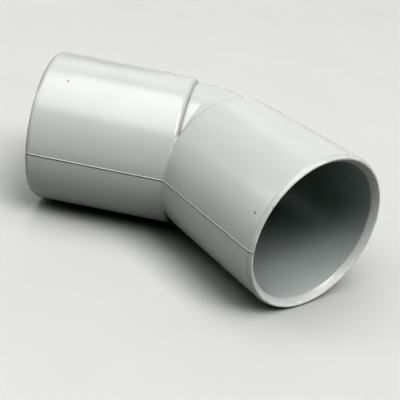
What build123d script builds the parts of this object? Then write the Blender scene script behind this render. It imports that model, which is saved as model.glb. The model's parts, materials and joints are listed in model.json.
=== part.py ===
from build123d import *
from math import cos, radians, sin, tan
import os

# A 45 degree elbow with two plain sockets for rigid waste pipe, moulded in one piece.
# It lies flat: both socket axes are level, one mouth faces left (-X) and one right (+X),
# and each leg is turned forwards (-Y) by half of the bend, so the heel is at the back.
# Z = 0 is the surface that the mouths rest on, and the origin is under the middle of the box.
# Distances along a leg start at the crossing, the point where the two socket axes meet.

# Driving dimensions, in millimetres and degrees
bend_angle = 45.0
leg_length = 35.0         # crossing to mouth
mouth_radius = 16.0       # outside of a socket at its widest, just behind the bevel
draft_angle = 0.57        # the outside narrows this much from the mouth inwards
bevel_length = 0.9        # bevel round the outside of the mouth, along the socket
bevel_depth = 0.4         # the same bevel, across the wall
bore_radius = 14.3        # takes a waste pipe of nominal size 28
lead_in_length = 1.2      # flare inside the mouth
lead_in_depth = 1.0
stop_distance = 7.0       # crossing to the ledge that stops the pipe
neck_radius = 14.8        # outside of the short bend between the sockets
passage_radius = 13.2     # inside of the same bend
neck_bend_radius = 7.0    # centre line of the neck
shoulder_start = 5.1      # the neck ends here and the step up to the socket begins
shoulder_end = 5.5        # the socket's own outside begins here
seam_height = 0.12        # ridge left where the two halves of the mould meet
seam_width = 0.30
shoulder_rounding = 0.6
bevel_rounding = 0.6
rim_rounding = 0.12

# Values that follow from them
half_bend = radians(bend_angle / 2)
bevel_start = leg_length - bevel_length
shoulder_radius = mouth_radius - (bevel_start - shoulder_end) * tan(radians(draft_angle))
rim_radius = mouth_radius - bevel_depth
lead_in_radius = bore_radius + lead_in_depth
tangent_distance = neck_bend_radius * tan(half_bend)
bend_centre_distance = neck_bend_radius / cos(half_bend)

# The crossing is placed so that the box is centred on the origin from front to back
front_reach = bevel_start * sin(half_bend) + (mouth_radius + seam_height) * cos(half_bend)
back_reach = neck_bend_radius + neck_radius + seam_height - bend_centre_distance
crossing = Vector(0, (front_reach - back_reach) / 2, mouth_radius)

left = Vector(-cos(half_bend), -sin(half_bend), 0)
right = Vector(cos(half_bend), -sin(half_bend), 0)
heel_side_of_left = Vector(-sin(half_bend), cos(half_bend), 0)
bend_axis = Axis(crossing - Vector(0, bend_centre_distance, 0), (0, 0, -1))


def level_plane(direction):
    """Level plane through the crossing, with its X along one leg."""
    return Plane(origin=crossing, x_dir=direction, z_dir=(0, 0, 1))


def add_bend(radius, reach, mode):
    """Round bar along the bent centre line, out to the same reach on both legs."""
    for direction in (left, right):
        start = Plane(origin=crossing + direction * tangent_distance, z_dir=direction)
        with BuildSketch(start) as disc:
            Circle(radius)
        extrude(disc.sketch, amount=reach - tangent_distance, mode=mode)
    heel_plane = Plane(
        origin=crossing + left * tangent_distance, x_dir=heel_side_of_left, z_dir=left
    )
    with BuildSketch(heel_plane) as heel_section:
        Circle(radius)
        with Locations((-neck_bend_radius, 0)):
            Rectangle(
                neck_bend_radius + radius, 2 * radius,
                align=(Align.MIN, Align.CENTER), mode=Mode.INTERSECT,
            )
    revolve(heel_section.sketch, axis=bend_axis, revolution_arc=bend_angle, mode=mode)


def add_socket_outside(direction, extra):
    """Outside of one socket with its shoulder and bevelled mouth, grown by extra."""
    with BuildSketch(level_plane(direction)) as half_section:
        with BuildLine():
            outside = FilletPolyline(
                (shoulder_start, neck_radius + extra),
                (shoulder_end, shoulder_radius + extra),
                (bevel_start, mouth_radius + extra),
                (leg_length, rim_radius + extra),
                (leg_length, lead_in_radius),
                radius=[shoulder_rounding, bevel_rounding, rim_rounding],
            )
            Polyline(outside @ 1, (leg_length, 0), (shoulder_start, 0), outside @ 0)
        make_face()
    revolve(half_section.sketch, axis=Axis(crossing, direction))


def add_outside(extra=0.0):
    """The whole outside as one solid body: neck and both sockets."""
    add_bend(neck_radius + extra, shoulder_end, Mode.ADD)
    for direction in (left, right):
        add_socket_outside(direction, extra)


def cut_socket(direction):
    """Bore of one socket, from the pipe stop to the flare at the mouth."""
    with BuildSketch(level_plane(direction)) as half_section:
        with BuildLine():
            Polyline(
                (stop_distance, 0),
                (stop_distance, bore_radius),
                (leg_length - lead_in_length, bore_radius),
                (leg_length, lead_in_radius),
                (leg_length, 0),
                close=True,
            )
        make_face()
    revolve(half_section.sketch, axis=Axis(crossing, direction), mode=Mode.SUBTRACT)


# The seam is the thin level slice, at the height of the axes, of a slightly larger outside
with BuildPart() as seam:
    add_outside(extra=seam_height)
    with Locations(crossing):
        Box(4 * leg_length, 4 * leg_length, seam_width, mode=Mode.INTERSECT)

with BuildPart() as elbow:
    add_outside()
    add(seam.part)
    add_bend(passage_radius, stop_distance, Mode.SUBTRACT)
    for direction in (left, right):
        cut_socket(direction)

os.makedirs("parts", exist_ok=True)
elbow.part.label = "elbow"
export_step(elbow.part, "parts/elbow.step")
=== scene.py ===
from math import asin, cos, pi, radians, sin, tan

import bpy
import numpy as np
from mathutils import Matrix, Vector
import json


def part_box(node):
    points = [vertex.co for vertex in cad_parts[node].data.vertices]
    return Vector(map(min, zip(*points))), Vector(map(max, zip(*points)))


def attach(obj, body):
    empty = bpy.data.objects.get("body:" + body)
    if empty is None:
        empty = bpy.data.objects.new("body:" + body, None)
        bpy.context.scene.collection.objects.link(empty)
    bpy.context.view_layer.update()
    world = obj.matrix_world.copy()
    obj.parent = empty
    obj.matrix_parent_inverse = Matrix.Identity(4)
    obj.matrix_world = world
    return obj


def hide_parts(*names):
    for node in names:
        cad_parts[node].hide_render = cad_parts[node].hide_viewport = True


# A moulded elbow for rigid waste pipe. The CAD model holds its frame: the two sockets are
# bore mounts, and their axes cross in the middle of the neck. Everything here is in metres,
# and lengths along a leg are measured from that crossing, as in the CAD model.

MM = 0.001

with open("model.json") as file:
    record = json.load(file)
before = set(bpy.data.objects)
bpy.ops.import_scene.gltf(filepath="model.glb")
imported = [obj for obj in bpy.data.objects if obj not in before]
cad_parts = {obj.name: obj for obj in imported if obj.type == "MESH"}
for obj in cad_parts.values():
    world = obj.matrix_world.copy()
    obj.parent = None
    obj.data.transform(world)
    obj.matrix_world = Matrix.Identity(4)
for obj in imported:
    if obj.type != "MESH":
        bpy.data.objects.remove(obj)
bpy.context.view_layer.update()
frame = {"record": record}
box_low, box_high = (Vector(corner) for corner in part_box("elbow"))
mounts = {mount["name"]: mount for mount in frame["record"]["mounts"]}
left_mount = mounts["left_socket"]

# Places and sizes that the frame gives
left = Vector(left_mount["axis"])
half_bend = asin(-left.y)
wall_middle = Vector(left_mount["pos_m"])
wall_half_length = left_mount["dims"]["length_mm"] * MM / 2
wall_middle_distance = wall_middle.x / left.x
crossing = wall_middle - left * wall_middle_distance
bore_radius = left_mount["dims"]["r_mm"] * MM
stop_distance = wall_middle_distance - wall_half_length
lead_in_start = wall_middle_distance + wall_half_length
mouth_radius = (box_high.z - box_low.z) / 2

# Sizes of the moulding, as in the CAD model
lead_in_length = 1.2 * MM
lead_in_depth = 1.0 * MM
leg_length = lead_in_start + lead_in_length
bevel_length = 0.9 * MM
bevel_depth = 0.4 * MM
draft = radians(0.57)
neck_radius = 14.8 * MM
passage_radius = 13.2 * MM
neck_bend_radius = 7.0 * MM
shoulder_start = 5.1 * MM
shoulder_end = 5.5 * MM
seam_height = 0.12 * MM
seam_width = 0.30 * MM
shoulder_rounding = 0.6 * MM
bevel_rounding = 0.6 * MM
rim_rounding = 0.12 * MM

bevel_start = leg_length - bevel_length
rim_radius = mouth_radius - bevel_depth
lead_in_radius = bore_radius + lead_in_depth
toe = tan(half_bend)
tangent_distance = neck_bend_radius * toe
bend_centre_distance = neck_bend_radius / cos(half_bend)

# Softer edges than the CAD model has, and a ridge that is narrower because it is rounded
crook_fillet = 0.3 * MM
shoulder_fillet = 0.08 * MM
inner_rim_rounding = 0.08 * MM
flare_rounding = 0.5 * MM
ledge_rounding = 0.25 * MM
passage_rounding = 0.2 * MM
seam_half_width = seam_width * 0.42

# Wear of the flares and painted shade, from 0 to 1, and how far the marks spread from the edges
mark_spread = 0.25 * MM
flare_wear = 0.12
# Painted shade: a dark line round the left rim
left_rim_shade = 0.8
# Painted shade that dims the right bevel where the light catches it
right_bevel_shade = 0.14
# Painted shade in the crease at the foot of the shoulder
shoulder_shade = 0.35
# Painted shade that deepens down the bores
deepest_bore_shade = 0.5

# The table top, and how bright it looks at its rim
floor_half_side = 1.6
floor_glow = 0.89


# ---------------------------------------------------------------- shape of the moulding
# A point is (s, c, z): s along the left leg, c sideways towards the crook, z up from the axes.


def to_other_leg(s, c):
    """The same point seen along the right leg, which mirrors the left one."""
    turn_cos, turn_sin = cos(2 * half_bend), sin(2 * half_bend)
    return -s * turn_cos + c * turn_sin, s * turn_sin + c * turn_cos


def to_level(s, c):
    """The same point as x and y, from the crossing."""
    return -s * cos(half_bend) + c * sin(half_bend), -s * sin(half_bend) - c * cos(half_bend)


def round_union(a, b, radius):
    """Distance to two joined bodies with a fillet between them."""
    u = np.maximum(radius - a, 0)
    v = np.maximum(radius - b, 0)
    return np.maximum(radius, np.minimum(a, b)) - np.hypot(u, v)


def round_overlap(a, b, radius):
    """Distance to the overlap of two bodies with its edge rounded."""
    u = np.maximum(radius + a, 0)
    v = np.maximum(radius + b, 0)
    return np.minimum(-radius, np.maximum(a, b)) + np.hypot(u, v)


def socket_radius(s):
    """Outside radius of a socket before it is rounded at either end."""
    return mouth_radius - (bevel_start - s) * tan(draft)


def socket_distance(s, c, z):
    """Outside of a socket: a slightly tapered bar that starts at a steep shoulder."""
    rho = np.hypot(c, z)
    side = (rho - socket_radius(s)) * cos(draft)
    rise = socket_radius(shoulder_end) - neck_radius
    run = shoulder_end - shoulder_start
    slope = np.hypot(rise, run)
    shoulder = ((rho - neck_radius) * run - (s - shoulder_start) * rise) / slope
    return round_overlap(side, shoulder, shoulder_rounding)


def bend_distance(s, c, z, radius):
    """A round bar along the bent centre line."""
    s2, c2 = to_other_leg(s, c)
    x, y = to_level(s, c)
    y = y + bend_centre_distance
    on_arc = (y > 0) & (np.abs(x) < y * toe)
    arc = np.hypot(np.hypot(x, y) - neck_bend_radius, z)
    straight = np.minimum(
        np.where(x <= 0, np.hypot(c, z), np.inf), np.where(x >= 0, np.hypot(c2, z), np.inf)
    )
    return np.where(on_arc, arc, straight) - radius


def seam(z):
    """Height of the ridge that the two halves of the mould leave level with the axes."""
    return seam_height * np.cos(pi / 2 * np.clip(z / seam_half_width, -1, 1)) ** 2


def outside_distance(s, c, z):
    """The whole outside, with its fillets and without the ridge."""
    s2, c2 = to_other_leg(s, c)
    sockets = round_union(socket_distance(s, c, z), socket_distance(s2, c2, z), crook_fillet)
    return round_union(sockets, bend_distance(s, c, z, neck_radius), shoulder_fillet)


def passage_distance(s, c, z):
    """The passage between the ledges of the two bores."""
    return bend_distance(s, c, z, passage_radius)


def outer_radius(distance, columns, s=None, ridge=False):
    """Radius at which rays from a leg's axis leave a body, at each s or else on the mitre plane."""
    across = np.cos(columns), np.sin(columns)
    inner, outer = 9 * MM, 18 * MM
    halvings = 24
    for _ in range(halvings):
        rho = (inner + outer) / 2
        c, z = rho * across[0], rho * across[1]
        lift = seam(z) if ridge else 0 * z
        along = toe * (c + lift * across[0]) if s is None else s
        past = distance(along, c, z) > 0
        inner, outer = np.where(past, inner, rho), np.where(past, rho, outer)
    return rho + lift


def stretch(*parts):
    """Joins runs of numbers given as (first, last, count), each without its last number."""
    runs = [np.linspace(first, last, count, endpoint=False) for first, last, count in parts]
    return np.concatenate(runs + [[parts[-1][1]]])


def rounded_path(corners, steps=6):
    """Points of a path of (s, rho) corners, each given with the radius of its rounding."""
    path = [Vector(corners[0][:2])]
    for before, (s, rho, radius), after in zip(corners, corners[1:], corners[2:]):
        corner = Vector((s, rho))
        back = (Vector(before[:2]) - corner).normalized()
        ahead = (Vector(after[:2]) - corner).normalized()
        half_angle = back.angle(ahead) / 2
        reach = radius / tan(half_angle)
        centre = corner + (back + ahead).normalized() * (radius / sin(half_angle))
        first = corner + back * reach - centre
        last = corner + ahead * reach - centre
        for step in range(steps + 1):
            part = step / steps
            spoke = (first * (1 - part) + last * part).normalized() * radius
            path.append(centre + spoke)
    path.append(Vector(corners[-1][:2]))
    return path


def column_angles():
    """Angles round a leg from the crook to the heel and back, close together at the seams."""
    off_seam = np.array([0, 0.03, 0.06, 0.1, 0.14, 0.18, 0.23, 0.32, 0.5, 0.8]) * MM
    seam_columns = off_seam / mouth_radius
    last = seam_columns[-1]
    middle = stretch((last, radians(60), 48), (radians(60), pi - last, 52))
    half = np.concatenate([seam_columns[:-1], middle[:-1], (pi - seam_columns)[::-1]])
    return np.concatenate([half, 2 * pi - half[-2:0:-1]])


def bent_rows(distance, columns, rows, more, ridge=False):
    """Rows that start as rings at the distances in rows, with some more down to the mitre plane."""
    mitre = toe * np.cos(columns) * outer_radius(distance, columns, ridge=ridge)
    last = np.minimum(mitre, tangent_distance)
    base = np.stack([np.full_like(columns, row) for row in rows])
    base = np.concatenate([base, rows[-1] + (last - rows[-1]) * np.linspace(0, 1, more)[1:, None]])

    least, widest = 0.06, 0.8 * MM

    def squeezed(x):
        """Almost x where a row is clear of the mitre plane, and a small part of it beyond."""
        width = np.clip(mitre - tangent_distance, 0, widest)
        return least * x + (1 - least) * (x + np.hypot(x, width)) / 2

    part_way = (rows[0] - base) / (rows[0] - last)
    s = mitre + squeezed(base - mitre) - squeezed(last - mitre) * part_way
    rho = outer_radius(distance, columns, s, ridge)
    points = np.stack([s, rho * np.cos(columns), rho * np.sin(columns)], axis=1)
    points[-1, 0] = points[-1, 1] * toe
    return points


def leg_points():
    """Rows of points of the left leg: along its outside, over the mouth and back in."""
    columns = column_angles()
    rows = []

    def ring(s, rho, ridge=False):
        z = rho * np.sin(columns)
        lifted = rho + seam(z) if ridge else rho
        across = lifted * np.cos(columns), lifted * np.sin(columns)
        rows.append(np.stack([np.full_like(z, s), *across]))

    # Outside, from the mitre plane to just behind the bevel, with close rows at the shoulder
    behind_bevel = bevel_start - 0.7 * MM
    near_shoulder, past_shoulder = 6.3 * MM, 4.4 * MM
    straight = stretch(
        (behind_bevel, 9 * MM, 14),
        (9 * MM, near_shoulder, 12),
        (near_shoulder, past_shoulder, 58),
    )
    rows.extend(bent_rows(outside_distance, columns, straight, 18, ridge=True)[::-1])

    # Over the mouth: bevel, rim and flare
    mouth = rounded_path([
        (behind_bevel, socket_radius(behind_bevel), 0),
        (bevel_start, mouth_radius, bevel_rounding),
        (leg_length, rim_radius, rim_rounding),
        (leg_length, lead_in_radius, inner_rim_rounding),
        (lead_in_start, bore_radius, flare_rounding),
        (lead_in_start - 0.8 * MM, bore_radius, 0),
    ])
    for s, rho in mouth[1:]:
        ring(s, rho, ridge=rho > rim_radius)

    # Bore, and the ledge that stops the pipe
    before_ledge = stop_distance + 0.8 * MM
    for s in stretch((lead_in_start - 1.4 * MM, before_ledge, 18)):
        ring(s, bore_radius)
    ledge = rounded_path([
        (before_ledge, bore_radius, 0),
        (stop_distance, bore_radius, ledge_rounding),
        (stop_distance, passage_radius, passage_rounding),
        (stop_distance - 0.4 * MM, passage_radius, 0),
    ])
    for s, rho in ledge[1:]:
        ring(s, rho)

    # Passage, down to the mitre plane
    passage = np.array([stop_distance - 0.7 * MM, stop_distance - 0.9 * MM])
    rows.extend(bent_rows(passage_distance, columns, passage, 24))
    return np.stack(rows)


def closeness(places, edge_s, edge_rho):
    """How close each point is to an edge that runs round a leg, from 0 to 1."""
    s, rho = places[..., 0], np.hypot(places[..., 1], places[..., 2])
    return np.exp(-((s - edge_s) ** 2 + (rho - edge_rho) ** 2) / mark_spread ** 2)


def painted_shading(places, inside):
    """How much painted shadow and shade lie under the seam, at the foot of the shoulder and down
    the bore.
    """
    # Painted shadow: a dark line just below the seam ridge
    line_below, line_width = seam_width * 0.55, 0.11 * MM
    shadow_under_seam = np.exp(-((places[..., 2] + line_below) / line_width) ** 2)
    # Painted shade at the foot of the shoulder
    shade_at_shoulder = shoulder_shade * closeness(places, shoulder_start, neck_radius)
    # Painted shade, darker deeper down the bore
    depth = (lead_in_start - places[..., 0]) / (lead_in_start - stop_distance)
    shade_down_bore = deepest_bore_shade * np.clip(depth, 0, 1)
    return np.where(inside, shade_down_bore, np.maximum(shadow_under_seam, shade_at_shoulder))


def surface_state(places):
    """Whether each point is in the bore, how rubbed it is, and its painted light and shade, for the
    two legs.

    Pipes have rubbed both flares. The right rim is painted pale, a painted highlight on its rim
    face, and its gloss is duller; its bevel gets painted shade. The left rim gets a painted shade
    line."""
    s = places[..., 0]
    row_at_mouth = np.argmax(s[:, 0])
    inside = np.broadcast_to((np.arange(len(s)) > row_at_mouth)[:, None], s.shape)
    bore = inside & (s <= lead_in_start)
    # The rim gets a painted shade line on the left leg and a painted highlight on the right leg
    rim = closeness(places, leg_length, (rim_radius + lead_in_radius) / 2)
    flare = flare_wear * (inside & ~bore)
    # Painted shade on the right bevel
    bevel_shade = right_bevel_shade * (~inside & (s > bevel_start))
    painted_shade = painted_shading(places, inside)
    return {
        "bore": (bore * 1.0, bore * 1.0),
        "wear_and_rim_highlight": (flare, np.maximum(rim, flare)),
        "painted_shade": (np.maximum(painted_shade, left_rim_shade * rim), np.maximum(painted_shade, bevel_shade)),
    }


def both_legs(left_rows, right_rows):
    """The rows of both legs, which share the first and the last one on the mitre plane."""
    return np.concatenate([left_rows, right_rows[-2:0:-1]])


def elbow_mesh():
    """The whole moulding as one closed sheet of quads, from one leg and its mirror image."""
    places = leg_points().transpose(0, 2, 1)
    s, c, z = np.moveaxis(places, 2, 0)
    left_leg = np.stack([*to_level(s, c), z], axis=2)
    points = both_legs(left_leg, left_leg * (-1, 1, 1))
    row_count, column_count = points.shape[:2]
    index = np.arange(row_count * column_count).reshape(row_count, column_count)
    next_row = np.roll(index, -1, axis=0)
    quads = np.stack([
        index, np.roll(index, -1, axis=1), np.roll(next_row, -1, axis=1), next_row
    ], axis=2)
    mesh = bpy.data.meshes.new("elbow_moulding")
    flat = points.reshape(-1, 3) + np.array(crossing)
    mesh.from_pydata(flat.tolist(), [], quads.reshape(-1, 4).tolist())
    mesh.polygons.foreach_set("use_smooth", np.ones(len(mesh.polygons), dtype=bool))

    # What the material needs: each point's place along its own leg, and its state. The right
    # leg's places are shifted so that its marks differ.
    along = both_legs(places, places + (leg_length * 4, 0, 0))
    leg_place = mesh.attributes.new("leg_place", "FLOAT_VECTOR", "POINT")
    leg_place.data.foreach_set("vector", along.ravel())
    for name, values in surface_state(places).items():
        state = mesh.attributes.new(name, "FLOAT", "POINT")
        state.data.foreach_set("value", both_legs(*values).ravel())
    mesh.update()
    return mesh


# ---------------------------------------------------------------- materials

# Colours of the plastic, and of the marks on it
dark_pigment = (0.304, 0.307, 0.301, 1)
light_pigment = (0.318, 0.321, 0.315, 1)
# Painted light: the bores are coloured lighter and cooler, for the light that fills them
bore_light_tint_colour = (0.326, 0.340, 0.336, 1)
mottle_colour = (0.290, 0.293, 0.287, 1)
speck_colour = (0.05, 0.052, 0.05, 1)
# Pale colour of the worn flares, and of the painted highlight on the right rim
pale_rubbed_and_lit_colour = (0.46, 0.465, 0.455, 1)
# Painted shade colour, for the crease, the deep bores and the edges turned from the light
painted_shade_colour = (0.08, 0.078, 0.073, 1)

# Colours of the floor
dark_board = (0.317, 0.317, 0.314, 1)
light_board = (0.325, 0.325, 0.322, 1)


def new_material(name):
    """A material with a Principled shader, and that shader."""
    material = bpy.data.materials.new(name)
    material.use_nodes = True
    nodes = material.node_tree.nodes
    nodes.clear()
    output = nodes.new("ShaderNodeOutputMaterial")
    shader = nodes.new("ShaderNodeBsdfPrincipled")
    material.node_tree.links.new(shader.outputs["BSDF"], output.inputs["Surface"])
    return material, shader


def add_node(material, kind, inputs, **settings):
    """A new node with its settings. An input is a number, a colour or another node's socket."""
    node = material.node_tree.nodes.new("ShaderNode" + kind)
    for name, value in settings.items():
        setattr(node, name, value)
    for name, value in inputs.items():
        if isinstance(value, bpy.types.NodeSocket):
            material.node_tree.links.new(value, node.inputs[name])
        else:
            node.inputs[name].default_value = value
    return node


def noise(material, place, scale, detail, roughness=0.5):
    """Noise of about 0.3 to 0.7. A larger scale makes it finer."""
    inputs = {"Vector": place, "Scale": scale, "Detail": detail, "Roughness": roughness}
    return add_node(material, "TexNoise", inputs).outputs["Fac"]


def ramp(material, value, low, high, first=0.0, last=1.0):
    """The value stretched so that low gives first and high gives last, and no further."""
    inputs = {"Value": value, "From Min": low, "From Max": high, "To Min": first, "To Max": last}
    return add_node(material, "MapRange", inputs).outputs["Result"]


def patches(material, place, scale, detail, roughness=0.5, first=0.0, last=1.0):
    """A value that drifts between first and last, in smaller patches for a larger scale."""
    return ramp(material, noise(material, place, scale, detail, roughness), 0.3, 0.7, first, last)


def arithmetic(material, operation, a, b):
    return add_node(material, "Math", {0: a, 1: b}, operation=operation).outputs[0]


def blend_colour(material, amount, a, b):
    inputs = {"Factor": amount, 6: a, 7: b}
    return add_node(material, "Mix", inputs, data_type="RGBA").outputs[2]


def attribute(material, name, output):
    return add_node(material, "Attribute", {}, attribute_name=name).outputs[output]


def grey_plastic():
    """Satin grey moulded plastic: faintly cloudy and pebbled, with specks and worn flares, painted
    shade, a painted highlight on the right rim and a painted tint of the light in the bores.
    """
    material, shader = new_material("grey_plastic_moulded")
    place = add_node(material, "TexCoord", {}).outputs["Object"]
    bore = attribute(material, "bore", "Fac")
    wear_and_rim_highlight = attribute(material, "wear_and_rim_highlight", "Fac")
    painted_shade = attribute(material, "painted_shade", "Fac")

    # Streaks that the cores of the mould drew along the bores, 20 times as long as wide
    leg_place = attribute(material, "leg_place", "Vector")
    stretched = add_node(material, "Mapping", {"Vector": leg_place, "Scale": (0.05, 1, 1)})
    drawn = noise(material, stretched.outputs["Vector"], 2200, 3)
    streaks = arithmetic(material, "MULTIPLY", bore, ramp(material, drawn, 0.35, 0.7))

    # Colour: slow clouds of pigment, painted lighter and cooler in the bores for the light there,
    # fine mottling, rare dark specks, worn flares, a painted highlight on the right rim and painted
    # shade
    clouds = patches(material, place, 70, 3)
    body = blend_colour(material, clouds, dark_pigment, light_pigment)
    # Painted light: a lighter, cooler tint inside the bores
    body = blend_colour(material, bore, body, bore_light_tint_colour)
    mottling = patches(material, place, 1500, 4, 0.65, last=0.2)
    body = blend_colour(material, mottling, body, mottle_colour)
    cells = add_node(material, "TexVoronoi", {"Vector": place, "Scale": 165})
    specks = ramp(material, cells.outputs["Distance"], 0.025, 0.045, 0.75, 0)
    body = blend_colour(material, specks, body, speck_colour)
    # Worn flares and the painted highlight on the right rim, in patches
    patchiness = ramp(material, noise(material, place, 700, 2), 0.4, 0.7, 0.4, 0.8)
    rubbed_and_lit = arithmetic(material, "MULTIPLY", wear_and_rim_highlight, patchiness)
    body = blend_colour(material, rubbed_and_lit, body, pale_rubbed_and_lit_colour)
    # Painted shade, made a little uneven
    uneven = patches(material, place, 250, 3, first=0.75)
    shade_amount = arithmetic(material, "MULTIPLY", painted_shade, uneven)
    body = blend_colour(material, shade_amount, body, painted_shade_colour)
    material.node_tree.links.new(body, shader.inputs["Base Color"])

    # Gloss: patchy from handling, duller where it is rubbed and a little duller along the streaks.
    # Away from rubbed edges it stays below 0.27, where the denoiser would draw contours.
    handling = patches(material, place, 110, 5, 0.6, first=0.21, last=0.24)
    rubbed_dull = arithmetic(material, "MULTIPLY", wear_and_rim_highlight, 0.75)
    drawn_dull = arithmetic(material, "MULTIPLY", streaks, 0.008)
    roughness = arithmetic(material, "ADD", handling, rubbed_dull)
    roughness = arithmetic(material, "ADD", roughness, drawn_dull)
    material.node_tree.links.new(roughness, shader.inputs["Roughness"])

    # Relief: the pebbling of a sparked mould, a hint of waviness from shrinkage, and the streaks
    relief = None
    for height, depth in (
        (noise(material, place, 2600, 3, 0.6), 0.0008 * MM),
        (noise(material, place, 160, 1), 0.004 * MM),
        (streaks, 0.0005 * MM),
    ):
        inputs = {"Height": height, "Distance": depth, "Strength": 1.0}
        if relief:
            inputs["Normal"] = relief
        relief = add_node(material, "Bump", inputs).outputs["Normal"]
    material.node_tree.links.new(relief, shader.inputs["Normal"])

    shader.inputs["IOR"].default_value = 1.5
    shader.inputs["Specular IOR Level"].default_value = 0.36
    return material


def pale_floor():
    """Matt pale board with the faintest unevenness. Its rim fades into the surroundings."""
    material, shader = new_material("pale_floor")
    place = add_node(material, "TexCoord", {}).outputs["Object"]
    body = blend_colour(material, patches(material, place, 30, 4), dark_board, light_board)
    material.node_tree.links.new(body, shader.inputs["Base Color"])
    shader.inputs["Roughness"].default_value = 0.9
    far_out = add_node(material, "VectorMath", {0: place}, operation="LENGTH").outputs["Value"]
    solid = ramp(material, far_out, 0.4 * floor_half_side, floor_half_side, 1, 0)
    material.node_tree.links.new(solid, shader.inputs["Alpha"])
    return material


# ---------------------------------------------------------------- scene


def direction(azimuth, elevation):
    """The way from the elbow towards this azimuth, which is 0 in front, and elevation."""
    level = cos(elevation)
    return Vector((sin(azimuth) * level, -cos(azimuth) * level, sin(elevation)))


def place_camera():
    """The photographer's view: from the front right, a little above, with the head tilted."""
    azimuth, elevation, roll = radians(28.1), radians(27.66), radians(9.05)
    distance, aim_left, aim_down = 169.1 * MM, 1.81 * MM, 9.40 * MM
    back = direction(azimuth, elevation)
    level_right = Vector((0, 0, 1)).cross(back).normalized()
    level_up = back.cross(level_right)
    right = level_right * cos(roll) + level_up * sin(roll)
    up = level_up * cos(roll) - level_right * sin(roll)
    aim = crossing - right * aim_left - up * aim_down
    data = bpy.data.cameras.new("camera")
    data.lens = 71.2
    data.clip_start = 0.01
    camera = bpy.data.objects.new("camera", data)
    camera.matrix_world = Matrix((right, up, back)).transposed().to_4x4()
    camera.location = aim + back * distance
    bpy.context.scene.collection.objects.link(camera)
    bpy.context.scene.camera = camera


def add_object(name, mesh, material):
    """A new object of this mesh and material, in the scene."""
    mesh.materials.append(material)
    piece = bpy.data.objects.new(name, mesh)
    bpy.context.scene.collection.objects.link(piece)
    return piece


def add_floor():
    """A square table top at the height that the elbow rests on."""
    reach = floor_half_side
    corners = [(x * reach, y * reach, box_low.z) for x, y in ((-1, -1), (1, -1), (1, 1), (-1, 1))]
    mesh = bpy.data.meshes.new("floor")
    mesh.from_pydata(corners, [], [(0, 1, 2, 3)])
    floor = add_object("floor", mesh, pale_floor())


def softbox(name, place, aim, size, radiance):
    """A rectangular light as bright as radiance, whatever its size."""
    data = bpy.data.lights.new(name, "AREA")
    data.shape = "RECTANGLE"
    data.size, data.size_y = size
    data.energy = pi * size[0] * size[1] * radiance
    light = bpy.data.objects.new(name, data)
    light.location = place
    light.rotation_euler = (Vector(aim) - Vector(place)).to_track_quat("-Z", "Y").to_euler()
    bpy.context.scene.collection.objects.link(light)


def panel(name, azimuth, elevation, size, radiance):
    """A softbox that stands round the table, aimed at the elbow. Its angles are in degrees."""
    range_of_panels = 3.0
    away = direction(radians(azimuth), radians(elevation))
    softbox(name, crossing + away * range_of_panels, crossing, size, radiance)


def add_lights():
    """A softbox overhead, a brighter one on the right, a strip on the left, and dim panels.

    The one overhead is the widest and reaches much further forwards than back."""
    height = 2.0
    across, along = (-0.40 * height, 0.45 * height), (-0.96 * height, 0.30 * height)
    middle = Vector((sum(across) / 2, sum(along) / 2, height))
    size = (across[1] - across[0], along[1] - along[0])
    softbox("overhead", middle, (middle.x, middle.y, 0), size, 4.75)
    panel("right_softbox", 67.5, 53.5, (1.6, 1.6), 15.2)
    panel("front_left_panel", -44, 24, (2.4, 2.0), 1.25)
    panel("left_strip", -64, 40, (0.6, 1.5), 5.6)
    panel("low_left_panel", -60, 15, (4.0, 1.5), 0.6)
    panel("back_left_panel", -110, 30, (3.4, 3.0), 0.48)
    panel("back_panel", 178, 32, (4.2, 3.0), 0.92)


def add_surroundings():
    """A dim room that is as pale as the floor at the horizon and below it."""
    world = bpy.data.worlds.new("studio")
    world.use_nodes = True
    background = world.node_tree.nodes["Background"]
    background.inputs["Color"].default_value = (1, 1, 1, 1)
    room_glow, horizon_blur = 0.145, 0.2
    way = add_node(world, "TexCoord", {}).outputs["Generated"]
    upwards = add_node(world, "SeparateXYZ", {"Vector": way}).outputs["Z"]
    inputs = {"Value": upwards, "From Max": horizon_blur, "To Min": floor_glow, "To Max": room_glow}
    dimmed = add_node(world, "MapRange", inputs, interpolation_type="SMOOTHERSTEP")
    world.node_tree.links.new(dimmed.outputs["Result"], background.inputs["Strength"])
    bpy.context.scene.world = world


def set_view():
    """A crisp picture: dark tones pulled down, deepest shadows to black, white left where it is."""
    view = bpy.context.scene.view_settings
    view.view_transform = "Standard"
    view.gamma = 0.625
    view.use_curve_mapping = True
    view.curve_mapping.black_level = (0.029, 0.018, 0.024)
    view.curve_mapping.update()


set_view()
place_camera()
add_floor()
add_lights()
add_surroundings()

elbow = add_object("elbow_moulding", elbow_mesh(), grey_plastic())
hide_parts("elbow")
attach(elbow, "root")
